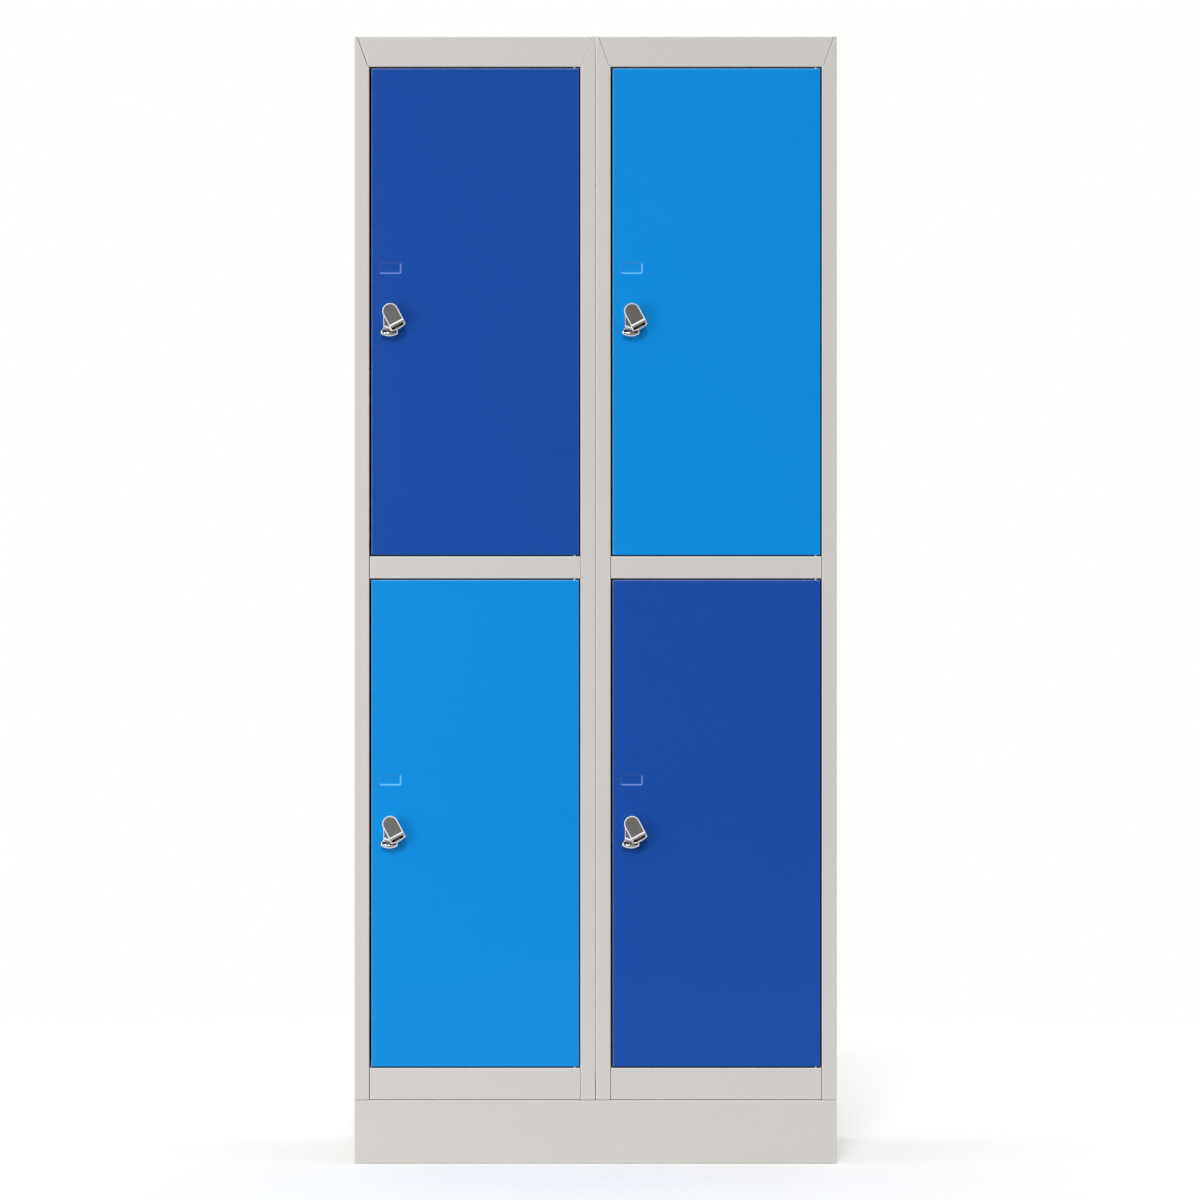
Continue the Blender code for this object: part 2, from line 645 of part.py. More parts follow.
def add_hasp_knob(place, turn, material):
    """The turning half of the lock: a round-topped knob with a slotted lug and a spindle through the door."""
    knob_back = TAB_HEIGHT + GAP
    outline = tab_outline(KNOB_RADIUS, KNOB_DROP)
    face = tab_outline(KNOB_RADIUS - KNOB_RIM, KNOB_DROP - KNOB_FOOT)
    knob = sloped_plate(f"hasp_knob_{place}", outline, face, knob_back, LOCK_PROJECTION, KNOB_RIM, material, turn)
    lug_shape = lug_outline(
        KNOB_RADIUS - GAP, JOIN_OVERLAP - KNOB_DROP, KNOB_LUG_LEFT, KNOB_LUG_RIGHT, KNOB_LUG_DROP, KNOB_LUG_BOW
    )
    lug = plate(f"knob_lug_{place}", lug_shape, KNOB_LUG_BACK, KNOB_LUG_FRONT, material, turn)
    slot_shape = slot_outline(KNOB_SLOT_LEFT, KNOB_SLOT_RIGHT, KNOB_SLOT_TOP, KNOB_SLOT_BOTTOM)
    slot = plate(f"knob_slot_{place}", slot_shape, TAB_HEIGHT, LOCK_PROJECTION + GAP, material, turn)
    start = -(knob_back + KNOB_LUG_BACK) / 2
    spindle = cylinder(f"spindle_{place}", SPINDLE_RADIUS, (0, start, 0), (0, SPINDLE_LENGTH, 0), material, turn)
    thread = cylinder(
        f"spindle_thread_{place}",
        SCREW_RADIUS + GAP,
        (0, SPINDLE_LENGTH - SCREW_LENGTH - GAP, 0),
        (0, SPINDLE_LENGTH + GAP, 0),
        material,
        turn,
        SMALL_ROUND_STEPS,
    )
    boolean(knob, lug, "UNION")
    boolean(knob, slot, "DIFFERENCE")
    boolean(knob, spindle, "UNION")
    boolean(knob, thread, "DIFFERENCE")


def cam_outline():
    """Two round ends of unlike size joined by their common tangents; the small end points down."""
    reach = CAM_LENGTH - CAM_TIP
    lean = math.asin((CAM_HUB - CAM_TIP) / reach)
    steps = SMALL_ROUND_STEPS // 2
    hub = arc(0.0, 0.0, CAM_HUB, -lean, math.pi + lean, steps)
    tip = arc(0.0, -reach, CAM_TIP, math.pi + lean, 2 * math.pi - lean, steps)
    return hub + tip


def add_cam(place, turn, material):
    """The locking cam on the spindle, with the screw that holds it."""
    cam_turn = new_empty(f"cam_turn_{place}", (0, 0, 0), turn)
    cam_turn.rotation_euler = (0.0, math.pi / 2 - CAM_DROOP, 0.0)
    cam = plate(f"cam_{place}", cam_outline(), -CAM_FRONT - CAM_THICKNESS, -CAM_FRONT, material, cam_turn)
    hole = cylinder(
        f"cam_hole_{place}",
        SPINDLE_RADIUS + GAP,
        (0, CAM_FRONT - CAM_THICKNESS, 0),
        (0, CAM_FRONT + 2 * CAM_THICKNESS, 0),
        material,
        cam_turn,
    )
    boolean(cam, hole, "DIFFERENCE")
    profile = headed_profile(SCREW_HEAD_RADIUS, SCREW_HEAD, SCREW_RADIUS, SCREW_LENGTH - GAP)
    screw = turned(f"cam_screw_{place}", profile, material, turn)
    screw.location = (0.0, SPINDLE_LENGTH + GAP, 0.0)
    screw.rotation_euler = (-math.pi / 2, 0.0, 0.0)


def add_lock(place, hinge, lock_x, material):
    """A lock at the middle of the door's height; its turning pieces hang on an empty turned with the knob."""
    pivot = new_empty(f"lock_pivot_{place}", (lock_x, -HINGE_DEPTH, 0.0), hinge)
    turn = new_empty(f"lock_turn_{place}", (0.0, 0.0, 0.0), pivot)
    turn.rotation_euler = (0.0, -LOCK_TURN, 0.0)
    add_hasp_base(place, pivot, material)
    add_hasp_nut(place, pivot, material)
    add_hasp_knob(place, turn, material)
    add_cam(place, turn, material)


def add_buffer(place, opening_left, head, material):
    """A rubber button on the door stop at the head of an opening."""
    length = STOP_DEPTH - DOOR_RETURN - 2 * GAP
    profile = (
        (0.0, length / 2),
        (BUFFER_RADIUS * CROWN, length / 2),
        (BUFFER_RADIUS, length / 4),
        (BUFFER_RADIUS, -length / 2),
        (0.0, -length / 2),
    )
    rubber = turned(f"door_buffer_{place}", profile, material)
    rubber.location = (opening_left + BUFFER_INSET, FRONT + (STOP_DEPTH + DOOR_RETURN) / 2, head - STOP_LIP / 2 - GAP)
    rubber.rotation_euler = (math.pi / 2, 0.0, 0.0)


def add_coat_hook(place, centre_x, ceiling, material):
    """A double hook bent from one wire, fixed under the compartment's ceiling."""
    bend = SMALL_ROUND_STEPS // 2
    outer = HOOK_STEM + 2 * HOOK_BEND
    right_half = [(HOOK_STEM, 0.0), (HOOK_STEM, -HOOK_DROP)]
    for step in range(1, bend + 1):
        angle = math.pi * step / bend
        x = HOOK_STEM + HOOK_BEND * (1 - math.cos(angle))
        right_half.append((x, -HOOK_DROP - HOOK_BEND * math.sin(angle)))
    right_half.append((outer, HOOK_TIP - HOOK_DROP))
    path = [(-x, z) for x, z in reversed(right_half)] + right_half
    curve = bpy.data.curves.new(f"coat_hook_{place}", "CURVE")
    curve.dimensions = "3D"
    curve.bevel_depth = HOOK_WIRE
    curve.bevel_resolution = 2
    curve.use_fill_caps = True
    curve.materials.append(material)
    spline = curve.splines.new("POLY")
    spline.points.add(len(path) - 1)
    for point, (x, z) in zip(spline.points, path):
        point.co = (x, 0.0, z, 1.0)
    hook = bpy.data.objects.new(f"coat_hook_{place}", curve)
    hook.location = (centre_x, (FRONT + BACK) / 2, ceiling - HOOK_WIRE - GAP)
    parts.objects.link(hook)


def add_compartment(place, column, sill, head, above, below, looks):
    """A compartment's door with its hinge pins and lock, its buffer and its coat hook."""
    opening_left = column["left"] + UPRIGHT
    hinge_x = opening_left + OPENING_WIDTH - DOOR_GAP_RIGHT - HINGE_INSET
    middle = sill + DOOR_GAP_BOTTOM + DOOR_HEIGHT / 2
    hinge = new_empty(f"hinge_{place}", (hinge_x, FRONT + HINGE_DEPTH, middle))
    lock_x = column["left"] + LOCK_INSET - hinge_x
    add_door(place, hinge, lock_x, looks[f"door_{place}"])
    add_stiffener(place, hinge, looks[f"door_{place}"])
    add_hinge_pins(place, hinge, looks["zinc"])
    add_lock(place, hinge, lock_x, looks["chrome"])
    add_buffer(place, opening_left, head, looks["rubber"])
    add_coat_hook(place, opening_left + OPENING_WIDTH / 2, ceiling_under(above), looks["zinc"])
    for end, piece, level in (("head", above, head), ("sill", below, sill)):
        hole = cylinder(
            f"{end}_pin_hole_{place}",
            PIN_RADIUS + GAP,
            (hinge_x, FRONT + HINGE_DEPTH, level - PIN_REACH),
            (hinge_x, FRONT + HINGE_DEPTH, level + PIN_REACH),
            looks["zinc"],
            steps=SMALL_ROUND_STEPS,
        )
        boolean(piece, hole, "DIFFERENCE")


def ceiling_under(piece):
    """The underside of the sheet that closes a compartment at the top."""
    level = max(vertex.co.z for vertex in piece.data.vertices if vertex.co.y < 0)
    return level - SHEET


def make_looks():
    light_blue = (0.0, 0.30, 0.80)
    dark_blue = (0.020, 0.075, 0.36)
    looks = {
        "grey": new_material("grey_paint", (0.62, 0.61, 0.59), 0.45),
        "dark_blue": new_material("dark_blue_paint", dark_blue, 0.40),
        "light_blue": new_material("light_blue_paint", light_blue, 0.40),
        "chrome": new_material("chrome_plate", (0.62, 0.60, 0.56), 0.18, 1.0),
        "zinc": new_material("zinc_plate", (0.55, 0.56, 0.57), 0.35, 1.0),
        "rubber": new_material("buffer_rubber", (0.03, 0.03, 0.03), 0.80),
    }
    looks["door_upper_left"] = looks["dark_blue"]
    looks["door_lower_left"] = looks["light_blue"]
    looks["door_upper_right"] = looks["light_blue"]
    looks["door_lower_right"] = looks["dark_blue"]
    return looks


def build():
    global parts, cutters
    clear_scene()
    parts = new_collection("school_locker")
    cutters = new_collection("cutters", hidden=True)
    looks = make_looks()
    columns = [add_column(number, looks["grey"]) for number in range(1, COLUMN_COUNT + 1)]
    add_plinth(looks["grey"])
    add_nest_bolts(columns, looks["zinc"])
    for side, column in zip(("left", "right"), columns):
        top, shelf, base = column["top"], column["shelf"], column["base"]
        add_compartment(f"upper_{side}", column, UPPER_SILL, UPPER_HEAD, top, shelf, looks)
        add_compartment(f"lower_{side}", column, LOWER_SILL, LOWER_HEAD, shelf, base, looks)


build()
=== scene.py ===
"""The looks of the school locker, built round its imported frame.

Metres, in the frame's own axes: +Z up, the doors look along -Y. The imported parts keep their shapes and
get smooth folds and a finish. Only the lock castings are made anew here, in a finer shape. Rivets and
spot welds are added to the carcass.
"""

import json
import math
from collections import namedtuple

import bmesh
import bpy
from mathutils import Matrix, Vector


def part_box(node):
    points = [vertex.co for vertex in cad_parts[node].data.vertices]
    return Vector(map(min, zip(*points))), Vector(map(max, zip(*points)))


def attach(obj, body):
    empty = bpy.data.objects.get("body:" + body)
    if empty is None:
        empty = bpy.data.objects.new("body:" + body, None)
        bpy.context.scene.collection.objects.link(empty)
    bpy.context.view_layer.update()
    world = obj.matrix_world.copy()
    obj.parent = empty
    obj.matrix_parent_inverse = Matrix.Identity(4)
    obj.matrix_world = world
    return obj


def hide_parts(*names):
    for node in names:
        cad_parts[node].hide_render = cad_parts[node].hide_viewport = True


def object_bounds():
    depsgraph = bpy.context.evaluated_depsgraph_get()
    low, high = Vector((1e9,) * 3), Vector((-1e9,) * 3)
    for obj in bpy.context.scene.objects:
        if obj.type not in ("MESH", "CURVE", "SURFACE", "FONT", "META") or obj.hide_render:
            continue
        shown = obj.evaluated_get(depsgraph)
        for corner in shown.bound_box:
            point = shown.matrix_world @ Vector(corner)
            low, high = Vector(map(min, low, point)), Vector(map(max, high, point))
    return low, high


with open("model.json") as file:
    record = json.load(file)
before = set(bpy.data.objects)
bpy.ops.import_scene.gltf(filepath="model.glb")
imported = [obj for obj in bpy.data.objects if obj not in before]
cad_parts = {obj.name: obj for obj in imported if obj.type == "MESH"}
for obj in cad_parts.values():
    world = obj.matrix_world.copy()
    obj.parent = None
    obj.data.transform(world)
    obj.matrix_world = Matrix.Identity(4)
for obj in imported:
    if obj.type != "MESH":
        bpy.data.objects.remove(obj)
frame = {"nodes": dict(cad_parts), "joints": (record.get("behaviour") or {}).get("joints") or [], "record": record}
cad_low, cad_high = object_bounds()

# Colours, as linear RGB
GREY_PAINT = (0.600, 0.580, 0.558)
# The fold colours are painted highlights, mixed into each paint along the folds that lean to the light
GREY_FOLD_HIGHLIGHT = (0.90, 0.89, 0.87)
DARK_BLUE_PAINT = (0.0070, 0.0650, 0.3450)
DARK_BLUE_FOLD_HIGHLIGHT = (0.22, 0.33, 0.78)
LIGHT_BLUE_PAINT = (0.0002, 0.2480, 0.6900)
LIGHT_BLUE_FOLD_HIGHLIGHT = (0.20, 0.64, 1.00)
CHROME = (0.970, 0.970, 0.965)
# painted shade, mixed into the chrome deep in slots and corners
CREVICE_SHADE = (0.012, 0.010, 0.008)
BRUSHED_FACE = (0.400, 0.390, 0.360)
# painted highlight: the brushed front below the knob is made paler than above it
BRUSHED_LUG_HIGHLIGHT = (0.820, 0.800, 0.760)
ZINC = (0.620, 0.630, 0.640)
RUBBER = (0.020, 0.020, 0.021)
FLOOR = (0.960, 0.960, 0.950)
FLOOR_BOUNCE = (0.600, 0.600, 0.593)  # the floor as the locker sees it, darker than the camera does
BACKDROP = (0.995, 0.995, 0.985)

# Powder coat: scales of its unevenness, per metre, and the painted highlight on its folds
CLOUD_SCALE = 2.4
MOTTLE_SCALE = 170.0
PEEL_SCALE = 620.0
SPECK_SCALE = 2600.0
SPECK_SHARE = 0.25
PEEL_STRENGTH = 0.16
PEEL_DISTANCE = 0.00025
COAT_SPECULAR = 0.25
FOLD_REACH = 0.0026
FOLD_SAMPLES = 4
FOLD_HIGHLIGHT_STRENGTH = 0.80
FOLDED_TO_FLAT = (0.90, 0.996)  # the largest part of a normal
BRIGHT_SIDE = (-0.6, 0.0, 0.80)
LEANING_TO_BRIGHT = (-0.05, 0.25)  # a normal's alignment with the bright side
SHADED_FOLD = 0.10

# Metals, rubber and floor: scales of their unevenness, per metre
GRAIN_SCALES = (900.0, 200.0, 7000.0)
CHROME_CLOUD_SCALE = 160.0
ZINC_CELL_SCALE = 340.0
ZINC_BLOOM_SCALE = 90.0
ZINC_GRIT_SCALE = 1500.0
RUBBER_BLOOM_SCALE = 300.0
RUBBER_GRIT_SCALE = 2200.0
FLOOR_CLOUD_SCALE = 1.5
FINE_DISTANCE = 0.0001
SLOPE_TO_FRONT = (-0.93, -0.995)  # a normal's Y
# reach, samples and range of the painted shade in slots and corners
CREVICE_REACH = 0.008
CREVICE_SAMPLES = 8
CREVICE_TO_OPEN = (0.30, 0.70)  # the share of open directions
MATT_ROUGHNESS = 0.9
MATT_SPECULAR = 0.1

# Lock, about its pivot on the door's front. It follows the imported lock, but its rims are slightly wider
# and its slots are closed at the back by a thin web, a sheet put where the real slots only have shade. Depths are
# in front of the door.
Tab = namedtuple("Tab", "radius drop bow rim foot back front")
Slot = namedtuple("Slot", "left right top bottom")
Lug = namedtuple("Lug", "neck left right drop bow back front rounding slot")
CLEARANCE = 0.0003
LOCK_TURN = math.radians(28)
KNOB = Tab(radius=0.0125, drop=0.0218, bow=0.0, rim=0.0016, foot=0.0026, back=0.0103, front=0.0240)
KNOB_LUG = Lug(
    neck=0.0122,
    left=0.0138,
    right=0.0126,
    drop=0.0312,
    bow=0.0026,
    back=0.0125,
    front=0.0195,
    rounding=0.0013,
    slot=Slot(left=-0.0112, right=0.0100, top=-0.0243, bottom=-0.0284),
)
BASE = Tab(radius=0.0112, drop=0.0270, bow=0.0030, rim=0.0011, foot=0.0024, back=CLEARANCE, front=0.0100)
BASE_LUG = Lug(
    neck=0.0109,
    left=0.0154,
    right=0.0118,
    drop=0.0394,
    bow=0.0042,
    back=0.0035,
    front=0.0090,
    rounding=0.0019,
    slot=Slot(left=-0.0128, right=0.0092, top=-0.0284, bottom=-0.0334),
)
LUG_ARM = 0.0030
SLOT_ROUND = 0.0006
# a thin web at the back of each slot, a sheet put where there is only shade
SLOT_SHADE_WEB = 0.0006
JOIN_OVERLAP = 0.0030
BARREL_RADIUS = 0.0080
BARREL_START = 0.0004
BARREL_END = 0.0215
THREAD_PITCH = 0.0014
THREAD_DEPTH = 0.0006
SPINDLE_RADIUS = 0.0045
SPINDLE_END = 0.0252
EDGE_ROUND = 0.00025
EDGE_SEGMENTS = 3
EDGE_ANGLE = math.radians(50)

# Fineness of curves, and how facets are joined and smoothed
TAB_STEPS = 40
BOW_STEPS = 20
SLOT_STEPS = 12
ROUND_STEPS = 6
TURNED_STEPS = 48
DOME_STEPS = 20
FACET_WELD = 0.000005
AXIS_WELD = 0.000002
SMOOTH_ANGLE = math.radians(32)
LOCK_SMOOTH_ANGLE = math.radians(17)

# Small fixings
Fixing = namedtuple("Fixing", "radius height slot")
RIVET = Fixing(radius=0.0032, height=0.0012, slot="zinc_plate")
RIVET_COUNT = 12
RIVET_END = 0.04
WELD = Fixing(radius=0.0030, height=0.00018, slot="grey_paint")
WELD_COUNT = 5
WELD_FRONT = 0.10
WELD_BACK = 0.05
FIXING_MARGIN = 0.006
RISE_OF_REAR_FLANGE = {"top": 0.0, "shelf": 0.012, "base": 0.0}  # above each sheet

# Stage and camera
STUDIO_LIGHT = 0.86
STUDIO_DARK = 0.12
LIGHT_TO_DARK = (0.62, 0.85)  # a direction's alignment with the one to the camera
KEY_DIRECTION = (0.04, 0.74, -0.67)
KEY_STRENGTH = 1.42
KEY_SPREAD = math.radians(12)
FILL_PLACE = (-2.4, -2.7, 1.00)
FILL_SIZE = 2.0
FILL_POWER = 36.0
FLOOR_SOLID = 0.9
FLOOR_RADIUS = 3.0
FLOOR_STEPS = 96
CAMERA_DISTANCE = 9.0
CAMERA_RIGHT = 0.007
CAMERA_SENSOR = 36.0  # millimetres
CAMERA_REACH = 100.0
VIEW_WIDTH = 1.895


# ---------------------------------------------------------------- node helpers


def feed(tree, socket, value):
    """Links a socket or sets a value; a colour may be linear RGB, or one number for a grey."""
    if isinstance(value, bpy.types.NodeSocket):
        tree.links.new(value, socket)
    elif socket.type == "RGBA":
        socket.default_value = (*value, 1.0) if isinstance(value, tuple) else (value, value, value, 1.0)
    else:
        socket.default_value = value


def feed_in_order(tree, node, values):
    for socket, value in zip(node.inputs, values):
        feed(tree, socket, value)


def feed_by_name(tree, node, values):
    """Feeds a node's inputs by name, with underscores for spaces."""
    for key, value in values.items():
        feed(tree, node.inputs[key.replace("_", " ")], value)


def add(tree, kind, settings=None, **values):
    node = tree.nodes.new(kind)
    for key, value in (settings or {}).items():
        setattr(node, key, value)
    feed_by_name(tree, node, values)
    return node


def noise(tree, place, scale, detail=2.0, roughness=0.5):
    node = add(tree, "ShaderNodeTexNoise", Vector=place, Scale=scale, Detail=detail, Roughness=roughness)
    return node.outputs["Fac"]


def stretched(tree, place, scale):
    """Coordinates scaled by unlike amounts along the axes, for a grain."""
    return add(tree, "ShaderNodeMapping", Vector=place, Scale=scale).outputs["Vector"]


def spread(tree, value, low, high, from_low=0.0, from_high=1.0):
    """Maps a range of values to another, and holds it there."""
    node = tree.nodes.new("ShaderNodeMapRange")
    feed_in_order(tree, node, (value, from_low, from_high, low, high))
    return node.outputs["Result"]


def maths(tree, operation, *values):
    node = add(tree, "ShaderNodeMath", {"operation": operation})
    feed_in_order(tree, node, values)
    return node.outputs["Value"]


def vector_maths(tree, operation, *values):
    """Both outputs of a vector operation: Vector, and Value for one whose result is a number."""
    node = add(tree, "ShaderNodeVectorMath", {"operation": operation})
    feed_in_order(tree, node, values)
    return node.outputs


def axes_of(tree, vector):
    return add(tree, "ShaderNodeSeparateXYZ", Vector=vector).outputs


def mixed(tree, amount, first, second):
    """A blend of two colours."""
    node = tree.nodes.new("ShaderNodeMixRGB")
    feed_in_order(tree, node, (amount, first, second))
    return node.outputs["Color"]


def brightened(tree, color, value):
    return add(tree, "ShaderNodeHueSaturation", Value=value, Color=color).outputs["Color"]


def bumped(tree, height, strength, distance=FINE_DISTANCE):
    node = add(tree, "ShaderNodeBump", Strength=strength, Distance=distance, Height=height)
    return node.outputs["Normal"]


def fold_highlight_amount(tree):
    """The painted fold highlight's amount: 0 on a sheet's flat faces and 1 on folds that lean to the bright side;
    other folds get less.
    """
    rounded = add(tree, "ShaderNodeBevel", {"samples": FOLD_SAMPLES}, Radius=FOLD_REACH).outputs["Normal"]
    to_object = {"vector_type": "NORMAL", "convert_from": "WORLD", "convert_to": "OBJECT"}
    normal = add(tree, "ShaderNodeVectorTransform", to_object, Vector=rounded).outputs["Vector"]
    x, y, z = axes_of(tree, vector_maths(tree, "ABSOLUTE", normal)["Vector"])
    largest = maths(tree, "MAXIMUM", maths(tree, "MAXIMUM", x, y), z)
    folded = spread(tree, largest, 1.0, 0.0, *FOLDED_TO_FLAT)
    alignment = vector_maths(tree, "DOT_PRODUCT", normal, BRIGHT_SIDE)["Value"]
    leaning = spread(tree, alignment, SHADED_FOLD, 1.0, *LEANING_TO_BRIGHT)
    return maths(tree, "MULTIPLY", folded, leaning)


def crevice_shade_amount(tree):
    """The amount of painted shade: 0 on an open surface and 1 deep in a slot or a corner."""
    occlusion = add(tree, "ShaderNodeAmbientOcclusion", {"samples": CREVICE_SAMPLES}, Distance=CREVICE_REACH)
    return spread(tree, occlusion.outputs["AO"], 1.0, 0.0, *CREVICE_TO_OPEN)


def new_material(name):
    """A material, its tree, its surface and the socket of object coordinates."""
    material = bpy.data.materials.new(name)
    material.use_nodes = True
    tree = material.node_tree
    place = add(tree, "ShaderNodeTexCoord").outputs["Object"]
    return material, tree, tree.nodes["Principled BSDF"], place


# ---------------------------------------------------------------- materials


def powder_coat(name, color, fold_highlight_color):
    """Satin powder coat: fine orange peel, slight cloudiness, and a painted highlight, a paler colour along the
    folds that lean to the light.
    """
    material, tree, surface, place = new_material(name)
    cloud = noise(tree, place, CLOUD_SCALE, 3)
    mottle = noise(tree, place, MOTTLE_SCALE, 4, 0.6)
    peel = noise(tree, place, PEEL_SCALE, 2, 0.4)
    speck = noise(tree, place, SPECK_SCALE, 1)
    shade = maths(tree, "ADD", spread(tree, cloud, -0.035, 0.035), spread(tree, mottle, 0.975, 1.025))
    gloss = maths(tree, "ADD", spread(tree, mottle, 0.29, 0.37), spread(tree, cloud, -0.03, 0.03))
    # painted highlight along the folds that lean to the light
    painted_highlight = maths(tree, "MULTIPLY", fold_highlight_amount(tree), FOLD_HIGHLIGHT_STRENGTH)
    height = maths(tree, "ADD", peel, maths(tree, "MULTIPLY", speck, SPECK_SHARE))
    values = {
        "Base Color": mixed(tree, painted_highlight, brightened(tree, color, shade), fold_highlight_color),
        "Roughness": gloss,
        "Specular IOR Level": COAT_SPECULAR,
        "Normal": bumped(tree, height, PEEL_STRENGTH, PEEL_DISTANCE),
    }
    feed_by_name(tree, surface, values)
    return material


def chrome_plate():
    """Bright chrome with a greyer, brushed front, with a painted highlight that makes it paler below the knob, and
    with painted shade that darkens its slots and corners.
    """
    material, tree, surface, place = new_material("chrome_plate_finish")
    normal = tree.nodes["Texture Coordinate"].outputs["Normal"]
    front = spread(tree, axes_of(tree, normal)["Y"], 0.0, 1.0, *SLOPE_TO_FRONT)
    grain = noise(tree, stretched(tree, place, GRAIN_SCALES), 1.0, 3, 0.6)
    cloud = noise(tree, place, CHROME_CLOUD_SCALE, 3)
    # painted highlight: the brushed front is paler below the knob
    below_knob_highlight = spread(tree, axes_of(tree, place)["Z"], 1.0, 0.0, -KNOB.drop - EDGE_ROUND, -KNOB.drop)
    brushed_tone_and_highlight = mixed(tree, below_knob_highlight, BRUSHED_FACE, BRUSHED_LUG_HIGHLIGHT)
    face = brightened(tree, brushed_tone_and_highlight, spread(tree, grain, 0.6, 1.45))
    bright = brightened(tree, CHROME, spread(tree, cloud, 0.93, 1.04))
    plated = mixed(tree, front, bright, face)
    polish = spread(tree, cloud, 0.06, 0.14)
    brushed = spread(tree, grain, 0.26, 0.42)
    values = {
        # painted shade in slots and corners
        "Base Color": mixed(tree, crevice_shade_amount(tree), plated, CREVICE_SHADE),
        "Metallic": 1.0,
        "Roughness": mixed(tree, front, polish, brushed),
        "Normal": bumped(tree, grain, maths(tree, "MULTIPLY", front, 0.25)),
    }
    feed_by_name(tree, surface, values)
    return material


def zinc_plate():
    """Bright zinc plate: a cool grey metal with the faint crystal bloom of the bath and handling marks."""
    material, tree, surface, place = new_material("zinc_plate_finish")
    cells = add(tree, "ShaderNodeTexVoronoi", Vector=place, Scale=ZINC_CELL_SCALE).outputs["Color"]
    bloom = noise(tree, place, ZINC_BLOOM_SCALE, 4, 0.6)
    tone = maths(tree, "ADD", spread(tree, cells, -0.05, 0.05), spread(tree, bloom, 0.86, 1.1))
    values = {
        "Base Color": brightened(tree, ZINC, tone),
        "Metallic": 1.0,
        "Roughness": spread(tree, bloom, 0.22, 0.45),
        "Normal": bumped(tree, noise(tree, place, ZINC_GRIT_SCALE, 2), 0.12),
    }
    feed_by_name(tree, surface, values)
    return material


def moulded_rubber():
    """Black rubber with a greyish bloom."""
    material, tree, surface, place = new_material("moulded_rubber_finish")
    bloom = noise(tree, place, RUBBER_BLOOM_SCALE, 4, 0.6)
    values = {
        "Base Color": brightened(tree, RUBBER, spread(tree, bloom, 0.7, 1.6)),
        "Roughness": spread(tree, bloom, 0.62, 0.86),
        "Normal": bumped(tree, noise(tree, place, RUBBER_GRIT_SCALE, 2), 0.2),
    }
    feed_by_name(tree, surface, values)
    return material


def pale_floor():
    """Matt pale floor that fades out towards its edge, so that it meets the backdrop without a line."""
    material, tree, surface, place = new_material("pale_floor")
    shade = spread(tree, noise(tree, place, FLOOR_CLOUD_SCALE, 3), 0.99, 1.01)
    lighting = add(tree, "ShaderNodeLightPath").outputs["Is Diffuse Ray"]
    distance = vector_maths(tree, "LENGTH", place)["Value"]
    values = {
        "Base Color": mixed(tree, lighting, brightened(tree, FLOOR, shade), FLOOR_BOUNCE),
        "Roughness": MATT_ROUGHNESS,
        "Specular IOR Level": MATT_SPECULAR,
        "Alpha": spread(tree, distance, 1.0, 0.0, FLOOR_SOLID, FLOOR_RADIUS),
    }
    feed_by_name(tree, surface, values)
    return material


def make_finishes():
    """A finish for each of the record's material slots, and the blues without the painted fold highlight for
    stiffeners.
    """
    return {
        "grey_paint": powder_coat("grey_powder_coat", GREY_PAINT, GREY_FOLD_HIGHLIGHT),
        "dark_blue_paint": powder_coat("dark_blue_powder_coat", DARK_BLUE_PAINT, DARK_BLUE_FOLD_HIGHLIGHT),
        "light_blue_paint": powder_coat("light_blue_powder_coat", LIGHT_BLUE_PAINT, LIGHT_BLUE_FOLD_HIGHLIGHT),
        "dark_blue_paint_inside": powder_coat("dark_blue_inside_coat", DARK_BLUE_PAINT, DARK_BLUE_PAINT),
        "light_blue_paint_inside": powder_coat("light_blue_inside_coat", LIGHT_BLUE_PAINT, LIGHT_BLUE_PAINT),
        "chrome_plate": chrome_plate(),
        "zinc_plate": zinc_plate(),
        "rubber": moulded_rubber(),
    }


# ---------------------------------------------------------------- mesh helpers


def smooth_by_angle_group(name, sharp_above):
    """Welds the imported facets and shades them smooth, with sharp edges above an angle."""
    group = bpy.data.node_groups.new(name, "GeometryNodeTree")
    group.interface.new_socket("Geometry", in_out="INPUT", socket_type="NodeSocketGeometry")
    group.interface.new_socket("Geometry", in_out="OUTPUT", socket_type="NodeSocketGeometry")
    enter = group.nodes.new("NodeGroupInput").outputs[0]
    leave = group.nodes.new("NodeGroupOutput").inputs[0]
    plain = add(group, "GeometryNodeRemoveAttribute", Geometry=enter, Name="custom_normal")
    weld = add(
        group, "GeometryNodeMergeByDistance", Geometry=plain.outputs["Geometry"], Distance=FACET_WELD
    )
    angle = add(group, "GeometryNodeInputMeshEdgeAngle").outputs["Unsigned Angle"]
    sharp = add(group, "FunctionNodeCompare", {"operation": "GREATER_THAN"}, A=angle, B=sharp_above)
    faces = add(
        group,
        "GeometryNodeSetShadeSmooth",
        {"domain": "FACE"},
        Geometry=weld.outputs["Geometry"],
        Shade_Smooth=True,
    )
    edges = add(
        group,
        "GeometryNodeSetShadeSmooth",
        {"domain": "EDGE"},
        Geometry=faces.outputs["Geometry"],
        Selection=sharp.outputs["Result"],
        Shade_Smooth=False,
    )
    feed(group, leave, edges.outputs["Geometry"])
    return group


def shade_by_angle(obj, group):
    """Smooth folds, with the flat faces kept truly flat by weighting the normals by face area."""
    modifier = obj.modifiers.new("smooth_by_angle", "NODES")
    modifier.node_group = group
    weighted = obj.modifiers.new("flat_faces", "WEIGHTED_NORMAL")
    weighted.mode = "FACE_AREA"
    weighted.weight = 100
    weighted.keep_sharp = True


def new_object(name, data):
    obj = bpy.data.objects.new(name, data)
    bpy.context.scene.collection.objects.link(obj)
    return obj


